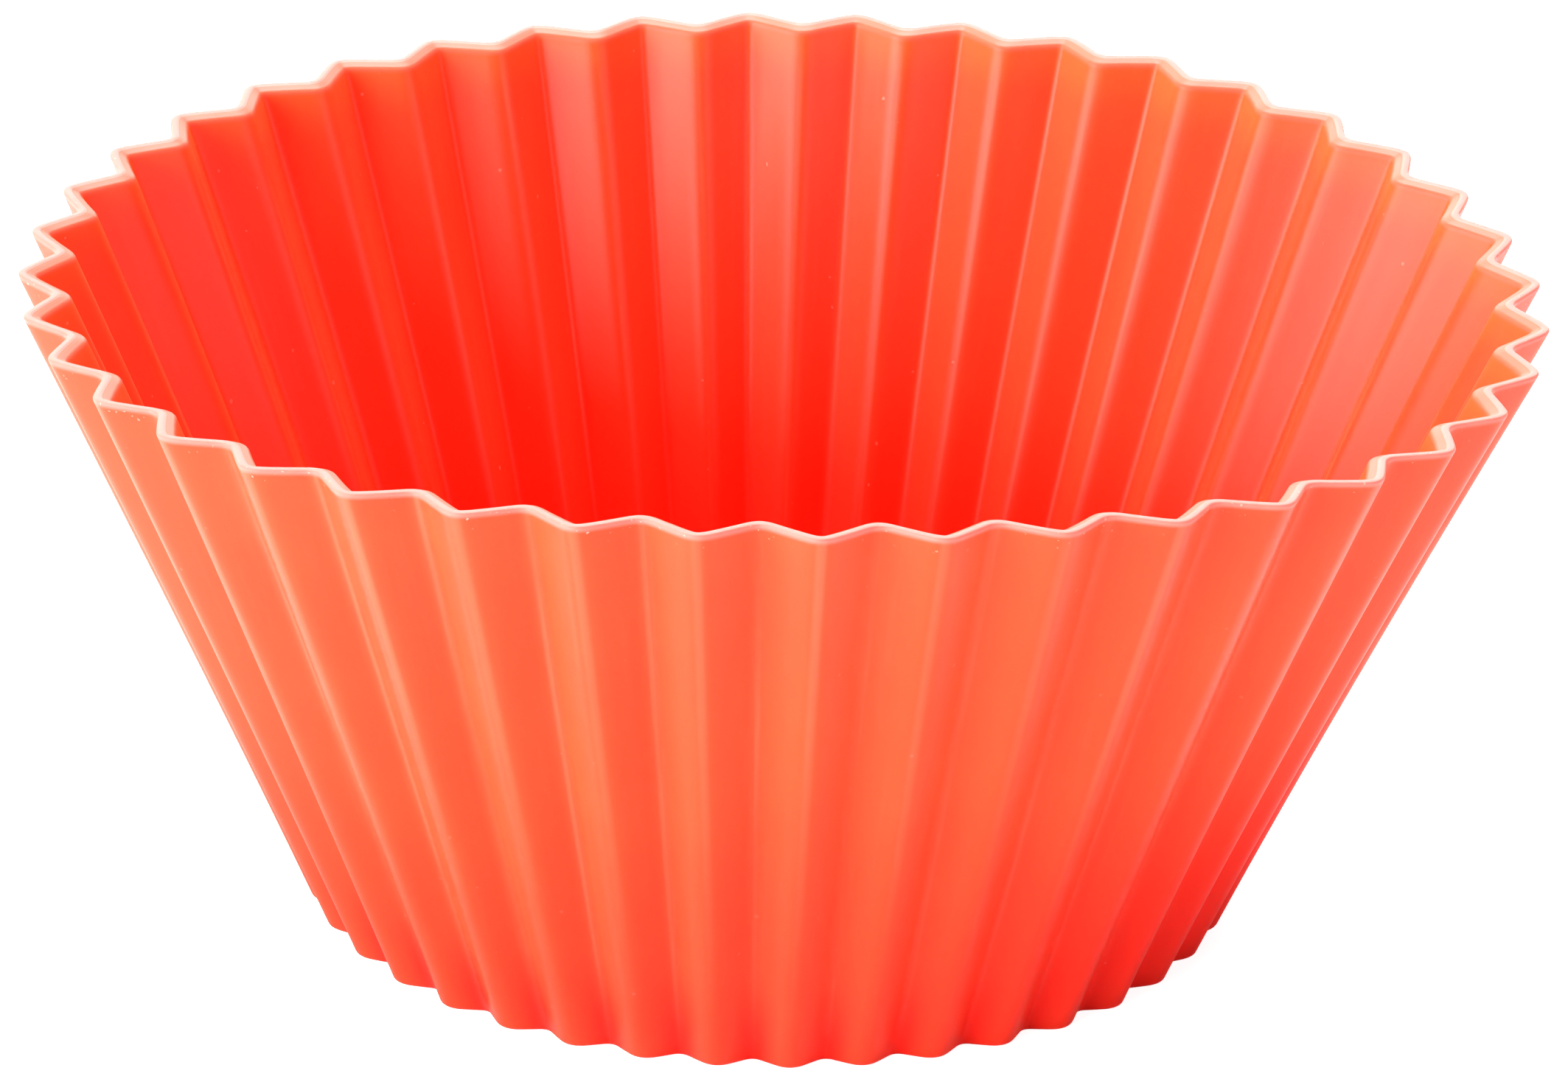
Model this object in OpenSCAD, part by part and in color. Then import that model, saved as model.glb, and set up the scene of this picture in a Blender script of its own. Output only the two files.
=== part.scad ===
// Pleated baking cup: one flexible moulding with a fluted, tapering wall and a flat base.
// The ridges and valleys are straight lines that all aim at one point on the axis, so every
// flank is flat. The inside is the same pleated cone lifted along the axis, which keeps the
// wall equally thick on every flank.

/* [Cup] */
// Diameter at the rim, over the ridges
rim_d = 70; // [66:0.5:76]
// Diameter at the base, over the ridges, where the wall line meets the underside
base_d = 43.8; // [42:0.2:50]
// Height from the underside to the rim
cup_h = 30.6; // [26:0.2:36]

/* [Wall] */
// Thickness of a flank, square to its surface
wall_t = 0.75; // [0.6:0.05:1]
// Thickness of the flat floor
floor_t = 1; // [0.8:0.1:1.6]
// Radius of the outer edge round the underside
edge_r = 0.4; // [0.3:0.1:2]
// Radius of the inner corner between the wall and the floor
inner_edge_r = 1; // [0.6:0.1:1.5]

/* [Pleats] */
// Number of ridges round the wall
pleats = 40; // [36:1:44]
// Depth of a pleat at the rim, from ridge to valley
pleat_depth = 1.5; // [1:0.1:1.8]
// Share of a pleat's pitch that is rounded on each side of a blunt fold
blunt_fold = 0.09; // [0.06:0.01:0.12]
// Share of a pleat's pitch that is rounded on each side of a sharp fold
sharp_fold = 0.035; // [0.02:0.005:0.05]

/* [Hidden] */

rim_r = rim_d / 2;
base_r = base_d / 2;
taper = (rim_r - base_r) / cup_h;   // outward run for each mm of height
taper_deg = atan(taper);
pitch_deg = 360 / pleats;

// The zigzag before its folds are rounded
zigzag_depth = pleat_depth / (1 - blunt_fold - sharp_fold);
zigzag_r = rim_r + zigzag_depth * blunt_fold;
flank_slope = zigzag_depth / (PI * rim_r / pleats);

// A flank keeps wall_t square to itself when the inside is lifted by this much
radial_t = wall_t * sqrt(1 + flank_slope * flank_slope + taper * taper);
lift = radial_t / taper;

edge_steps = 3;    // facets across each rounded edge
blunt_steps = 2;   // facets on each side of a blunt fold
sharp_steps = 1;   // facets on each side of a sharp fold

// Places along one pitch: round the ridge at 0, then round the valley at 0.5
function fold_places(at, half, steps) = [for (i = [-steps:steps]) at + half * i / steps];
function places(ridge, valley, ridge_steps, valley_steps) =
    concat(fold_places(0, ridge, ridge_steps), fold_places(0.5, valley, valley_steps));

// Depth at place u: 0 on a sharp ridge, 1 in a sharp valley, a parabola where a fold is rounded
function fold(d, half) = d < half ? d * d / half + half : 2 * d;
function depth(u, ridge, valley) =
    abs(u) < 0.25 ? fold(abs(u), ridge) : 1 - fold(abs(0.5 - u), valley);

// One closed ring of the pleated outline, scaled from its size at the rim and set at height z
function ring(size, z, ridge, valley, at) = [
    for (i = [0:pleats - 1])
        for (u = at)
            let (r = size * (zigzag_r - zigzag_depth * depth(u, ridge, valley)))
            let (a = pitch_deg * (i + u))
            [r * cos(a), r * sin(a), z]
];

// Size of the outer outline at height z, where 1 is the rim
function size_at(z) = (base_r + taper * z) / rim_r;

// [size, height] along a rounded edge from the floor plane at z0 up to the wall, of radius r
function edge(size0, z0, r) = [
    for (i = [0:edge_steps])
        let (a = 90 - (90 - taper_deg) * i / edge_steps)
        let (inset = r * tan((90 - taper_deg) / 2) - r * cos(a))
        [size0 - inset / rim_r, z0 + r * (1 - sin(a))]
];

outer_edge = edge(size_at(0), 0, edge_r);
inner_edge = edge(size_at(floor_t - lift), floor_t, inner_edge_r);
outer_path = concat(outer_edge, [[1, cup_h]]);
inner_path = concat([[size_at(cup_h - lift), cup_h]], [for (i = [edge_steps:-1:0]) inner_edge[i]]);

outer_places = places(blunt_fold, sharp_fold, blunt_steps, sharp_steps);
inner_places = places(sharp_fold, blunt_fold, sharp_steps, blunt_steps);
outer_rings = [for (p = outer_path) ring(p[0], p[1], blunt_fold, sharp_fold, outer_places)];
inner_rings = [for (p = inner_path) ring(p[0], p[1], sharp_fold, blunt_fold, inner_places)];

// Closes a stack of rings into one solid, the first and last ring being its flat ends
module skin(rings) {
    n = len(rings[0]);
    last = len(rings) - 1;
    points = [for (r = rings) for (p = r) p];
    sides = [
        for (j = [0:last - 1])
            for (i = [0:n - 1])
                let (k = (i + 1) % n)
                [j * n + i, (j + 1) * n + i, (j + 1) * n + k, j * n + k]
    ];
    first_end = [for (i = [0:n - 1]) i];
    last_end = [for (i = [n - 1:-1:0]) last * n + i];
    polyhedron(points, concat(sides, [first_end, last_end]));
}

// The whole moulding: up the outside, over the rim and down the inside to the floor
module baking_cup() {
    color("tomato")
        skin(concat(outer_rings, inner_rings));
}

baking_cup();
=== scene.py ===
import math

import bpy
import numpy as np
from mathutils import Matrix, Vector


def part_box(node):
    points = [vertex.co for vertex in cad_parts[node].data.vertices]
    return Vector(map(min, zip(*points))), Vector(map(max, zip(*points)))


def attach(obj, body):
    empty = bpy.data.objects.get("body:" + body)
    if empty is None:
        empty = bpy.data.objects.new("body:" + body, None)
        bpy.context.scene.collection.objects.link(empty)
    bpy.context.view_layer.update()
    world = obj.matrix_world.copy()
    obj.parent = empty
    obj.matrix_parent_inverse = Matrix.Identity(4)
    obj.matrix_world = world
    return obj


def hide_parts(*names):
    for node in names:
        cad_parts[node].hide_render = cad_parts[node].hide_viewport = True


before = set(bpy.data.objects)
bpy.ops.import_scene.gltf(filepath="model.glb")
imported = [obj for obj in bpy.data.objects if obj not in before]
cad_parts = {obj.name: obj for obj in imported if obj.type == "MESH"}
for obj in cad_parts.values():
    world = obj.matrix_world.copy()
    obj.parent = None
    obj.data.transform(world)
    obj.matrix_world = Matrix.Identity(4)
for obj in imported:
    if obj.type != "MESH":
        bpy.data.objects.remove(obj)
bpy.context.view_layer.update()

# ---------------------------------------------------------------------------
# Baking cup. One moulding of red silicone: a fluted wall that tapers to a flat
# base. It is cast between a cavity and a core that part along the rim, where
# the flash is trimmed off by hand and leaves a fine step and a few nibs.
# ---------------------------------------------------------------------------
mm = 0.001
cup_low, cup_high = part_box("baking_cup")
rim_r = (cup_high.x - cup_low.x) / 2
cup_h = cup_high.z - cup_low.z
base_r = 21.9 * mm
floor_t = 1.0 * mm
wall_t = 0.75 * mm
edge_r = 0.4 * mm
inner_edge_r = 1.0 * mm
pleats = 40
pleat_depth = 1.5 * mm
pitch_at_rim = 2 * math.pi * rim_r / pleats
taper = (rim_r - base_r) / cup_h
taper_angle = math.atan(taper)

# The folds are crisp at the rim and softer at the base: shares of a pitch, base then rim
outer_ridge_fold, outer_valley_fold = (0.18, 0.13), (0.12, 0.1)
inner_ridge_fold, inner_valley_fold = (0.08, 0.035), (0.17, 0.13)

# The inside is the outside lifted along the axis, so that a flank stays wall_t thick
zigzag_depth = pleat_depth / (1 - outer_ridge_fold[1] - outer_valley_fold[1])
zigzag_r = rim_r + zigzag_depth * outer_ridge_fold[1]
flank_slope = zigzag_depth / (pitch_at_rim / 2)
lift = wall_t * math.sqrt(1 + flank_slope**2 + taper**2) / taper

# The land on top of the rim, as shares of the wall's thickness from outside to inside
shoulder_r = 0.2 * mm
parting_step = 0.06 * mm
land_end, step_end = 0.5, 0.56
inner_fall = 0.14 * mm

# The grid: points round one pleat, and rings up each wall, which are closest together near the rim
points_per_pleat = 28
crowding = 0.55
wall_rings = 16
outer_rim_rings = 12
inner_rim_rings = 6
outer_fine_zone = 1.4 * mm
inner_fine_zone = 2.0 * mm

# A soft cup is never quite round: waves round the rim as (count, size, phase)
rim_waves_out = ((2, 0.45 * mm, math.radians(35)), (3, 0.28 * mm, math.radians(84)))
rim_waves_up = ((2, 0.54 * mm, math.radians(-156)), (3, 0.24 * mm, math.radians(-112)))


def fold(distance, half):
    """Twice the distance from a sharp fold, as a share of a pitch, with a parabola inside half."""
    rounded = distance**2 / half + half
    return np.where(distance < half, rounded, 2 * distance)


def pleat_depth_share(u, ridge, valley):
    """0 on a sharp ridge at whole u and 1 in a sharp valley half way, with both folds rounded."""
    d = np.abs(u - np.round(u))
    return np.where(d < 0.25, fold(d, ridge), 1 - fold(0.5 - d, valley))


def between(pair, share):
    """The value at a share of the height, from (at the base, at the rim)."""
    return pair[0] + (pair[1] - pair[0]) * share


def size_at(z):
    """Size of the outer outline at height z, where 1 is the rim."""
    return (base_r + taper * z) / rim_r


def corner(size, z0, radius, steps):
    """A rounded corner from the flat at z0 up to the wall: an arc tangent to both."""
    a = np.linspace(math.pi / 2, taper_angle, steps)
    inset = radius * math.tan((math.pi / 2 - taper_angle) / 2) - radius * np.cos(a)
    return size - inset / rim_r, z0 + radius * (1 - np.sin(a))


def cup_path():
    """The cup's section from the middle of the underside, out and up, over the rim, and down inside.

    Each column is one ring: size outside, size inside, height, and the share of the way from the
    outer surface to the inner one."""
    low = np.linspace(0.12, 1, 6)[:-1]
    out_edge = corner(size_at(0), 0, edge_r, 7)
    in_edge = corner(size_at(floor_t - lift), floor_t, inner_edge_r, 6)
    top_z = cup_h - shoulder_r
    out_wall = np.r_[np.linspace(out_edge[1][-1], top_z - outer_fine_zone, wall_rings)[1:],
                     np.linspace(top_z - outer_fine_zone, top_z, outer_rim_rings)[1:]]
    in_wall = np.r_[np.linspace(cup_h - inner_fall - shoulder_r, cup_h - inner_fine_zone, inner_rim_rings),
                    np.linspace(cup_h - inner_fine_zone, in_edge[1][-1], wall_rings)[1:-1]]
    turn = np.linspace(0, math.pi / 2, 5)[1:]
    radial_t = lift * taper
    across = shoulder_r / radial_t
    rows = []

    def add(size_out, size_in, z, share):
        rows.append(np.vstack(np.broadcast_arrays(size_out, size_in, z, share)))

    add(out_edge[0][0] * low, 0, 0, 0)
    add(out_edge[0], 0, out_edge[1], 0)
    add(size_at(out_wall), 0, out_wall, 0)
    end = 1 - across
    fall = np.linspace(0, 1, 4)[1:]
    back = turn[:-1]
    over_the_rim = (
        # shoulder
        (top_z + shoulder_r * np.sin(turn), across * (1 - np.cos(turn))),
        # outer land
        (np.full(2, cup_h), np.linspace(across, land_end, 3)[1:]),
        # parting step
        (np.full(1, cup_h - parting_step), np.full(1, step_end)),
        # inner land, which falls away
        (cup_h - parting_step - (inner_fall - parting_step) * fall**2, step_end + (end - step_end) * fall),
        # inner shoulder
        (cup_h - inner_fall - shoulder_r * (1 - np.cos(back)), end + across * np.sin(back)),
    )
    for z, share in over_the_rim:
        add(size_at(z), size_at(z - lift), z, share)
    add(0, size_at(in_wall - lift), in_wall, 1)
    add(0, in_edge[0][::-1], in_edge[1][::-1], 1)
    add(0, in_edge[0][0] * low[::-1], floor_t, 1)
    return np.hstack(rows)


def over_rim(rings):
    """Signed distance in mm along the section from the parting line: below 0 outside, above 0 inside."""
    size_out, size_in, z, share = rings
    r = rim_r * ((1 - share) * size_out + share * size_in)
    run = np.r_[0, np.cumsum(np.hypot(np.diff(r), np.diff(z)))]
    return (run - np.interp(step_end, share, run)) / mm


def cup_surface(rings):
    """Points of the cup, ring by ring, and u, which counts pleats round the axis from the ridge on +X.

    Samples crowd into the folds, because u runs as t - crowding sin(4 pi t) / (4 pi)."""
    size_out, size_in, z, share = (row[:, None] for row in rings)
    t = np.arange(pleats * points_per_pleat) / points_per_pleat
    u = (t - crowding * np.sin(4 * math.pi * t) / (4 * math.pi))[None, :]
    h = z / cup_h
    depth_out = pleat_depth_share(u, between(outer_ridge_fold, h), between(outer_valley_fold, h))
    depth_in = pleat_depth_share(u, between(inner_ridge_fold, h), between(inner_valley_fold, h))
    r = (1 - share) * size_out * (zigzag_r - zigzag_depth * depth_out)
    r = r + share * size_in * (zigzag_r - zigzag_depth * depth_in)
    angle = 2 * math.pi * u / pleats
    soft = np.clip(h, 0, 1) ** 1.5
    r = r + soft * sum(size * np.cos(n * angle + phase) for n, size, phase in rim_waves_out)
    up = z + soft * sum(size * np.cos(n * angle + phase) for n, size, phase in rim_waves_up)
    return np.stack([r * np.cos(angle), r * np.sin(angle), up], axis=-1), u


def closed_mesh(name, points):
    """A mesh from rings of points: quads between the rings, and a fan to a pole at each end."""
    rings, around = points.shape[:2]
    index = np.arange(rings * around).reshape(rings, around)
    a, b = index[:-1], index[1:]
    quads = np.stack([a, np.roll(a, -1, 1), np.roll(b, -1, 1), b], axis=-1).reshape(-1, 4)
    poles = points[[0, -1]].mean(axis=1)
    vertices = np.vstack([points.reshape(-1, 3), poles])
    first = np.stack([np.roll(index[0], -1), index[0], np.full(around, rings * around)], axis=-1)
    last = np.stack([index[-1], np.roll(index[-1], -1), np.full(around, rings * around + 1)], axis=-1)
    mesh = bpy.data.meshes.new(name)
    mesh.from_pydata(vertices, [], quads.tolist() + first.tolist() + last.tolist())
    mesh.shade_smooth()
    return mesh


def keep_map(mesh, name, values, at_poles):
    """Stores one number, or one vector, per point under a name that the material reads."""
    values = np.vstack([values.reshape(-1, values.shape[-1]), at_poles])
    kind, field = ("FLOAT_VECTOR", "vector") if values.shape[-1] == 3 else ("FLOAT", "value")
    mesh.attributes.new(name, kind, "POINT").data.foreach_set(field, values.ravel().astype(np.float32))


cup_rings = cup_path()
cup_points, pleat_count = cup_surface(cup_rings)
cup_mesh = closed_mesh("baking_cup_silicone", cup_points)
cup = bpy.data.objects.new("baking_cup_silicone", cup_mesh)
bpy.context.scene.collection.objects.link(cup)

# Three maps for the material: 1 on a ridge line and 0 on a valley line; mm from the parting line;
# and a place in mm that changes quickly across the flutes and slowly along them
slowness = 0.05
rim_distance = over_rim(cup_rings)[:, None]
ridge_share = 1 - 2 * np.abs(pleat_count - np.round(pleat_count))
flute_angle = 2 * math.pi * pleat_count / pleats
spread = rim_r / mm * np.minimum(1, cup_rings[:2].sum(axis=0) / size_at(0))[:, None]
flute_place = np.stack(np.broadcast_arrays(spread * np.cos(flute_angle), spread * np.sin(flute_angle),
                                           slowness * rim_distance), axis=-1)
grid = cup_points.shape[:2]
pole_distances = rim_distance[[0, -1]]
pole_places = pole_distances * [[0, 0, slowness]]
keep_map(cup_mesh, "ridge", np.broadcast_to(ridge_share, grid)[..., None], [[0.5], [0.5]])
keep_map(cup_mesh, "over_rim", np.broadcast_to(rim_distance, grid)[..., None], pole_distances)
keep_map(cup_mesh, "flute_place", flute_place, pole_places)

# Red silicone. The pigment is a strong orange red; the skin is satin, and thin edges let light through
silicone = bpy.data.materials.new("red_silicone")
silicone.use_nodes = True
nodes, links = silicone.node_tree.nodes, silicone.node_tree.links
skin = nodes["Principled BSDF"]
body_red = (0.9, 0.074, 0.021, 1)
softer_red = (0.9, 0.066, 0.0195, 1)
# Painted shade: a deeper red for places that fall into shade
painted_shade_red = (0.86, 0.012, 0.006, 1)
# Painted light: an orange glow where light comes through the rim, also used for the painted shadow of the
# parting step
painted_glow_and_shadow_orange = (0.93, 0.105, 0.022, 1)
# Pale orange red: the faint streaks, and the painted highlights along the folds
streak_and_highlight_pale = (0.92, 0.15, 0.08, 1)
# Painted light: the top of the rim painted pale, pink on the outer land and tan on the inner
rim_lit_pink = (0.92, 0.2, 0.16, 1)
rim_lit_tan = (0.92, 0.125, 0.065, 1)
crumb_white = (0.95, 0.62, 0.5, 1)

# How far each layer of colour hides what is under it
# The ridge and other-fold shares below set painted highlights
streak_share, ridge_highlight_share, fold_highlight_share = 0.08, 0.5, 0.4
# The valley, low wall, side and inside shares below set painted shade
valley_shade_share, low_wall_shade_share, shaded_side_share, inside_shade_share = 0.85, 0.36, 0.85, 0.5
# The glow share sets a painted glow and the parting share a painted shadow
painted_glow_share, step_shadow_share, dust_share, crumb_share = 0.7, 0.5, 0.22, 0.6

# Widths in mm of the lumps of noise, and of the cells that hold one speck each
# The third of these widths sets how the painted ridge highlight comes and goes
drift_size, streak_size, ridge_fade_size, break_size, gloss_size, grain_size = 9.0, 0.55, 3.0, 1.1, 2.4, 0.16
dust_cell, crumb_cell, crumb_cluster_size = 1.7, 0.34, 1.6

# Heights in mm of the grain, the marks along the flutes, and the crumbs, before the bump's strength
grain_height, mark_height, crumb_height = 0.009, 0.008, 0.05
gloss_least, gloss_range, floor_extra = 0.29, 0.2, 0.3


def plug(socket, value):
    """Sets a socket to a plain value, or links it to another node's socket."""
    if isinstance(value, bpy.types.NodeSocket):
        links.new(value, socket)
    else:
        socket.default_value = value


def surface_map(name):
    """A map that the mesh carries, as a number and as a vector."""
    reader = nodes.new("ShaderNodeAttribute")
    reader.attribute_name = name
    return reader.outputs["Fac"], reader.outputs["Vector"]


def ramp(value, start, end):
    """0 before start and 1 after end, with an S curve between; start above end turns it round."""
    step = nodes.new("ShaderNodeMapRange")
    step.interpolation_type = "SMOOTHSTEP"
    low, high = sorted((start, end))
    plug(step.inputs["Value"], value)
    step.inputs["From Min"].default_value, step.inputs["From Max"].default_value = low, high
    step.inputs["To Min"].default_value = 0 if start < end else 1
    step.inputs["To Max"].default_value = 1 if start < end else 0
    return step.outputs["Result"]


def maths(operation, a, b):
    """One sum of two numbers."""
    sum_ = nodes.new("ShaderNodeMath")
    sum_.operation = operation
    plug(sum_.inputs[0], a)
    plug(sum_.inputs[1], b)
    return sum_.outputs["Value"]


def product(*factors):
    """The product of two or more numbers."""
    total = factors[0]
    for factor in factors[1:]:
        total = maths("MULTIPLY", total, factor)
    return total


def multiply_add(a, b, c):
    """a times b, plus c."""
    total = maths("MULTIPLY_ADD", a, b)
    plug(total.node.inputs[2], c)
    return total


def blend(share, a, b):
    """Colour a, turning to b as share goes from 0 to 1."""
    mix = nodes.new("ShaderNodeMix")
    mix.data_type = "RGBA"
    plug(mix.inputs["Factor"], share)
    plug(mix.inputs["A"], a)
    plug(mix.inputs["B"], b)
    return mix.outputs["Result"]


def cloud(place, size, detail=2.0):
    """Smooth noise about 0.5 whose lumps are about as wide as size."""
    noise = nodes.new("ShaderNodeTexNoise")
    plug(noise.inputs["Vector"], place)
    noise.inputs["Scale"].default_value = 1 / size
    noise.inputs["Detail"].default_value = detail
    return noise.outputs["Fac"]


def ragged(place, size, reach):
    """A place pushed about by up to half of reach, in lumps about as wide as size."""
    noise = nodes.new("ShaderNodeTexNoise")
    plug(noise.inputs["Vector"], place)
    noise.inputs["Scale"].default_value = 1 / size
    push = nodes.new("ShaderNodeVectorMath")
    push.operation = "MULTIPLY_ADD"
    links.new(noise.outputs["Color"], push.inputs[0])
    push.inputs[1].default_value = (reach, reach, reach)
    plug(push.inputs[2], place)
    return push.outputs["Vector"]


def specks(place, cell, smallest, largest):
    """1 inside round dots, one to a cell, whose radii vary from smallest to largest."""
    dots = nodes.new("ShaderNodeTexVoronoi")
    plug(dots.inputs["Vector"], place)
    dots.inputs["Scale"].default_value = 1 / cell
    split = nodes.new("ShaderNodeSeparateColor")
    links.new(dots.outputs["Color"], split.inputs["Color"])
    radius = multiply_add(split.outputs[0], (largest - smallest) / cell, smallest / cell)
    nearness = maths("DIVIDE", dots.outputs["Distance"], radius)
    return ramp(nearness, 1.0, 0.6)


def along(start, end):
    """A ramp over the distance from the parting line, in mm: below 0 outside, above 0 inside."""
    return ramp(from_rim, start, end)


to_mm = nodes.new("ShaderNodeVectorMath")
to_mm.operation = "SCALE"
links.new(nodes.new("ShaderNodeTexCoord").outputs["Object"], to_mm.inputs[0])
to_mm.inputs["Scale"].default_value = 1 / mm
place_mm = to_mm.outputs["Vector"]
across_mm = nodes.new("ShaderNodeSeparateXYZ")
links.new(place_mm, across_mm.inputs["Vector"])
ridge, _ = surface_map("ridge")
from_rim, _ = surface_map("over_rim")
_, along_flutes = surface_map("flute_place")
outside = along(0.3, -0.3)
inside = along(-0.3, 0.3)

# Pigment: slow drift and faint streaks along the flutes. Then a painted highlight: paler ridge lines that
# come and go, strongest near the rim
colour = blend(ramp(cloud(place_mm, drift_size), 0.3, 0.75), softer_red, body_red)
streaks = cloud(along_flutes, streak_size, 3.0)
colour = blend(product(ramp(streaks, 0.5, 0.8), streak_share), colour, streak_and_highlight_pale)
# Painted highlight: the rounded outer ridges are painted paler, as where they catch the light
ridge_highlight_line = product(ramp(ridge, 0.87, 0.97), outside)
ridge_highlight_fade = product(ramp(cloud(along_flutes, ridge_fade_size), 0.2, 0.6), along(-36, -1))
colour = blend(product(ridge_highlight_line, ridge_highlight_fade, ridge_highlight_share), colour, streak_and_highlight_pale)

# Painted highlight: a faint pale line along the valley folds, and along every fold inside, that comes and
# goes
other_folds = maths("MAXIMUM", ramp(ridge, 0.075, 0.02), product(ramp(ridge, 0.93, 0.985), inside))
comes_and_goes = ramp(cloud(along_flutes, break_size, 3.0), 0.35, 0.65)
colour = blend(product(other_folds, comes_and_goes, fold_highlight_share), colour, streak_and_highlight_pale)

# Painted shade: a deeper red where the valleys run into the base, down the low outer wall,
# most of all low on the +X side, and low down inside
valley = ramp(ridge, 0.75, 0.1)
at_base = product(along(-27.5, -33), outside)
colour = blend(product(valley, at_base, valley_shade_share), colour, painted_shade_red)
low_wall = product(along(-12, -33), outside)
colour = blend(product(low_wall, low_wall_shade_share), colour, painted_shade_red)
one_side = ramp(across_mm.outputs["X"], 0, 19)
colour = blend(product(along(-16, -31), one_side, outside, shaded_side_share), colour, painted_shade_red)
colour = blend(product(along(16, 27), inside_shade_share), colour, painted_shade_red)

# Rim, painted light and shade: an orange glow painted under the inner edge, as where light comes
# through; the tan inner land and the pink outer land painted pale, as where light falls on the top;
# and the parting line painted as the shadow of the step
painted_glow = product(along(3.2, 0.7), along(0.0, 0.5))
colour = blend(product(painted_glow, painted_glow_share), colour, painted_glow_and_shadow_orange)
# Painted light on the top of the rim
inner_land = product(along(0.8, 0.55), along(-0.1, 0.0))
colour = blend(inner_land, colour, rim_lit_tan)
outer_land = product(along(-0.85, -0.55), along(0.02, -0.02))
colour = blend(outer_land, colour, rim_lit_pink)
# Painted shadow of the parting step
step_shadow_line = product(along(-0.05, -0.01), along(0.07, 0.03))
colour = blend(product(step_shadow_line, step_shadow_share), colour, painted_glow_and_shadow_orange)

# Dust, most of it inside, and crumbs of flash along the outer edge, in clusters
dust_place = maths("MAXIMUM", along(-0.5, 0.5), 0.3)
dust = product(specks(ragged(place_mm, 0.3, 0.2), dust_cell, 0.02, 0.14), dust_place)
colour = blend(product(dust, dust_share), colour, crumb_white)
crumb_band = product(along(-1.7, -0.7), along(-0.1, -0.4))
crumb_cluster = product(crumb_band, ramp(cloud(place_mm, crumb_cluster_size), 0.42, 0.6))
crumbs = product(specks(ragged(place_mm, 0.12, 0.2), crumb_cell, 0.01, 0.08), crumb_cluster)
colour = blend(product(crumbs, crumb_share), colour, crumb_white)
links.new(colour, skin.inputs["Base Color"])

# Satin skin: smears of gloss, a matt floor inside, and a fine grain left by the mould
gloss = multiply_add(cloud(along_flutes, gloss_size, 4.0), gloss_range, gloss_least)
roughness = multiply_add(along(30, 33), floor_extra, gloss)
links.new(roughness, skin.inputs["Roughness"])
grain = product(cloud(place_mm, grain_size, 3.0), grain_height)
marks = multiply_add(streaks, mark_height, grain)
height = multiply_add(maths("MAXIMUM", crumbs, product(dust, 0.5)), crumb_height, marks)
bump = nodes.new("ShaderNodeBump")
bump.inputs["Strength"].default_value = 0.6
bump.inputs["Distance"].default_value = mm
links.new(height, bump.inputs["Height"])
links.new(bump.outputs["Normal"], skin.inputs["Normal"])
skin.inputs["IOR"].default_value = 1.41
skin.inputs["Specular IOR Level"].default_value = 0.3
skin.inputs["Subsurface Weight"].default_value = 0.35
skin.inputs["Subsurface Radius"].default_value = (1.0, 0.25, 0.12)
skin.inputs["Subsurface Scale"].default_value = 0.8 * mm
cup_mesh.materials.append(silicone)

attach(cup, "root")
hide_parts("baking_cup")

# ---------------------------------------------------------------------------
# Studio. White paper under a white surround, both nearly white to the camera and
# darker to the cup, with five softboxes: one low and wide at the front left, which
# is the key, a small one above it, a weak fill at the front right, and two behind.
# ---------------------------------------------------------------------------
paper_side = 6
paper_white = 0.9
lit_through = 0.85
surround_to_cup, surround_to_camera = 0.1, 1.0
softbox_distance = 0.8

bpy.ops.mesh.primitive_plane_add(size=paper_side, location=(0, 0, 0))
floor = bpy.context.object
floor.name = "studio_floor"
paper = bpy.data.materials.new("white_paper")
paper.use_nodes = True
paper_nodes, paper_links = paper.node_tree.nodes, paper.node_tree.links
sheet = paper_nodes["Principled BSDF"]
sheet.inputs["Base Color"].default_value = (paper_white, paper_white, paper_white, 1)
sheet.inputs["Roughness"].default_value = 0.9
sheet.inputs["Emission Color"].default_value = (1, 1, 1, 1)
# The paper is lit through from below, which takes most of the shadow off it where it is looked at
looked_at = paper_nodes.new("ShaderNodeLightPath")
through_light = paper_nodes.new("ShaderNodeMath")
through_light.operation = "MULTIPLY"
through_light.inputs[1].default_value = lit_through
paper_links.new(looked_at.outputs["Is Camera Ray"], through_light.inputs[0])
paper_links.new(through_light.outputs["Value"], sheet.inputs["Emission Strength"])
floor.data.materials.append(paper)

world = bpy.data.worlds.new("white_surround")
bpy.context.scene.world = world
world.use_nodes = True
sky_nodes, sky_links = world.node_tree.nodes, world.node_tree.links
seen = sky_nodes.new("ShaderNodeLightPath")
sky_strength = sky_nodes.new("ShaderNodeMapRange")
sky_strength.inputs["To Min"].default_value = surround_to_cup
sky_strength.inputs["To Max"].default_value = surround_to_camera
sky_links.new(seen.outputs["Is Camera Ray"], sky_strength.inputs["Value"])
sky_links.new(sky_strength.outputs["Result"], sky_nodes["Background"].inputs["Strength"])
sky_nodes["Background"].inputs["Color"].default_value = (1, 1, 1, 1)


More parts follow.
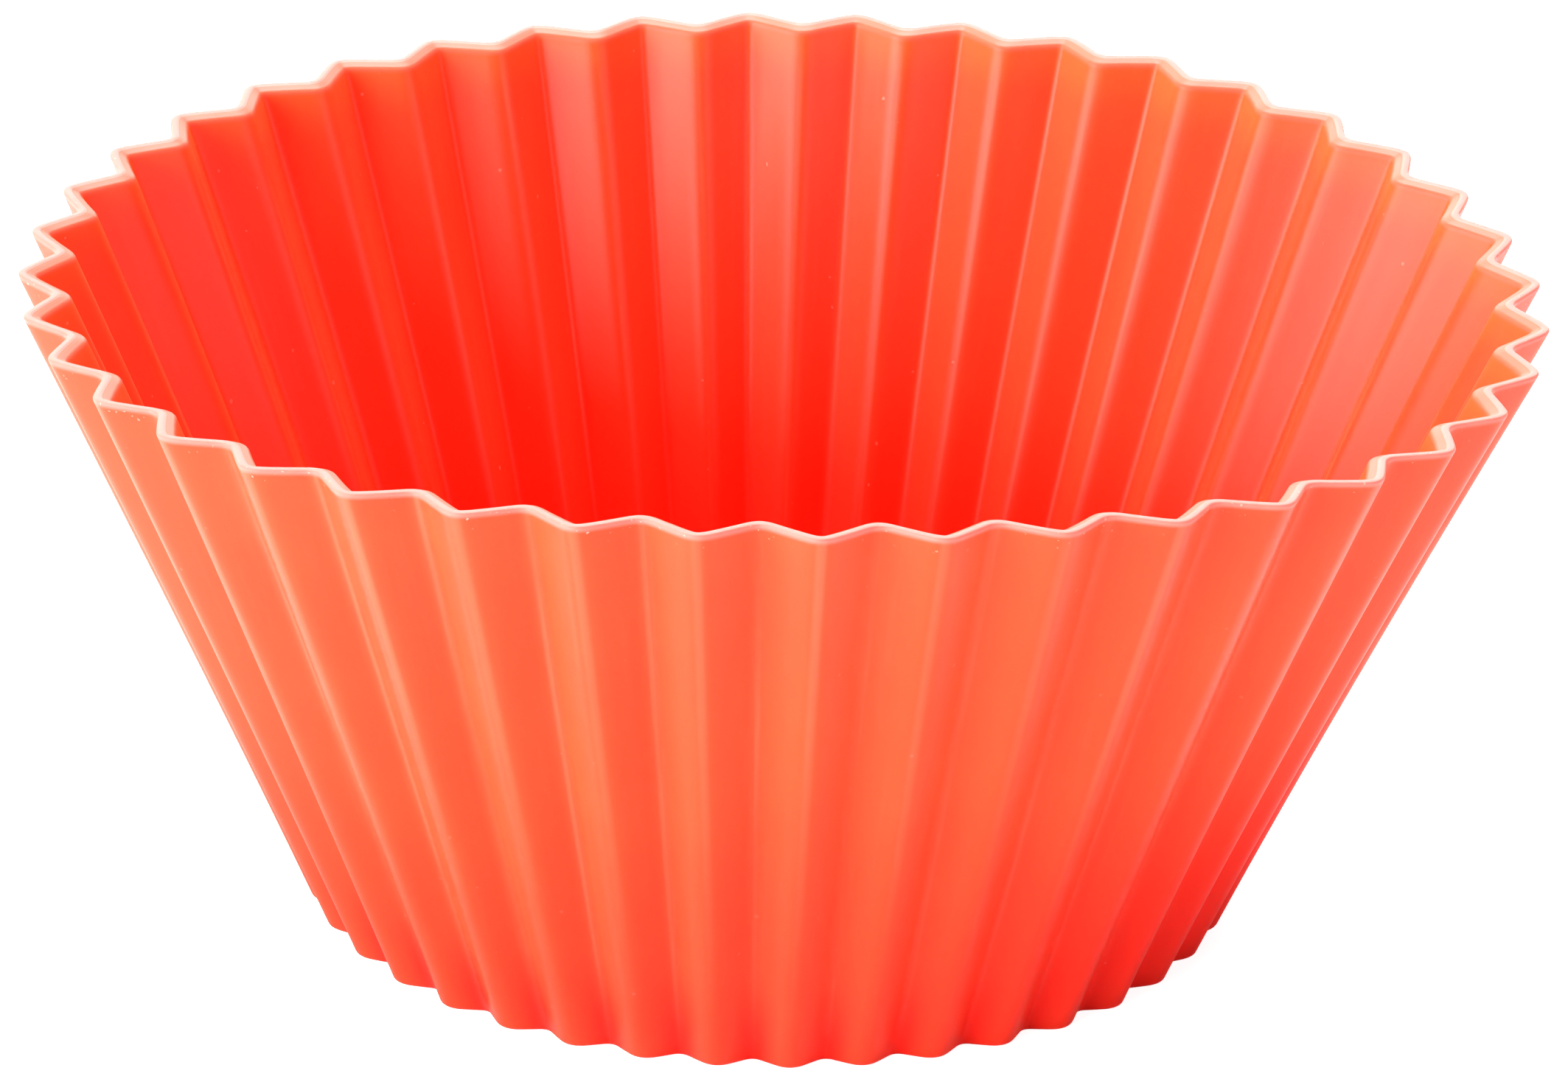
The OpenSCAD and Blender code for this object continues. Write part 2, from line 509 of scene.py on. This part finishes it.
def direction(azimuth, elevation):
    """Unit vector toward an azimuth and an elevation in radians."""
    level = math.cos(elevation)
    return np.array([level * math.cos(azimuth), level * math.sin(azimuth), math.sin(elevation)])


def softbox(name, azimuth, elevation, width, height, brightness):
    """A rectangular area light aimed at the cup from a direction in degrees, as bright as asked."""
    a, e = math.radians(azimuth), math.radians(elevation)
    light = bpy.data.lights.new(name, "AREA")
    light.shape = "RECTANGLE"
    light.size, light.size_y = width, height
    light.energy = brightness * math.pi * width * height
    lamp = bpy.data.objects.new(name, light)
    lamp.location = direction(a, e) * softbox_distance + np.array([0, 0, cup_h / 2])
    lamp.rotation_euler = (math.pi / 2 - e, 0, a + math.pi / 2)
    lamp.visible_camera = False
    bpy.context.scene.collection.objects.link(lamp)


softbox("key_softbox", azimuth=212, elevation=12, width=0.95, height=0.3, brightness=14.8)
softbox("left_softbox", azimuth=196, elevation=34, width=0.25, height=0.25, brightness=13)
softbox("fill_softbox", azimuth=322, elevation=14, width=0.5, height=0.3, brightness=3.6)
softbox("back_softbox", azimuth=93, elevation=63, width=0.6, height=0.36, brightness=21)
softbox("low_back_softbox", azimuth=90, elevation=20, width=0.9, height=0.4, brightness=4)

# The camera stands above the front of the cup, a little to the left, and leans slightly
camera_distance = 0.411
camera_height = math.radians(20.96)
camera_turn = math.radians(-93.32)
camera_lean = math.radians(1.47)
target_sideways = 0.4 * mm
target_below_rim = 13.67 * mm
camera = bpy.data.objects.new("camera", bpy.data.cameras.new("camera"))
bpy.context.scene.collection.objects.link(camera)
eye = direction(camera_turn, camera_height) * camera_distance + np.array([0, 0, cup_h])
side = np.array([-math.sin(camera_turn), math.cos(camera_turn), 0])
target = side * target_sideways + np.array([0, 0, cup_h - target_below_rim])
aim = Vector(target - eye).to_track_quat("-Z", "Y").to_matrix().to_4x4()
lean = Matrix.Rotation(camera_lean, 4, "Z")
camera.matrix_world = Matrix.Translation(Vector(eye)) @ aim @ lean
camera.data.lens = 203.7
camera.data.sensor_width = 36
camera.data.clip_start, camera.data.clip_end = 0.01, 20
bpy.context.scene.camera = camera
bpy.context.scene.view_settings.view_transform = "Standard"
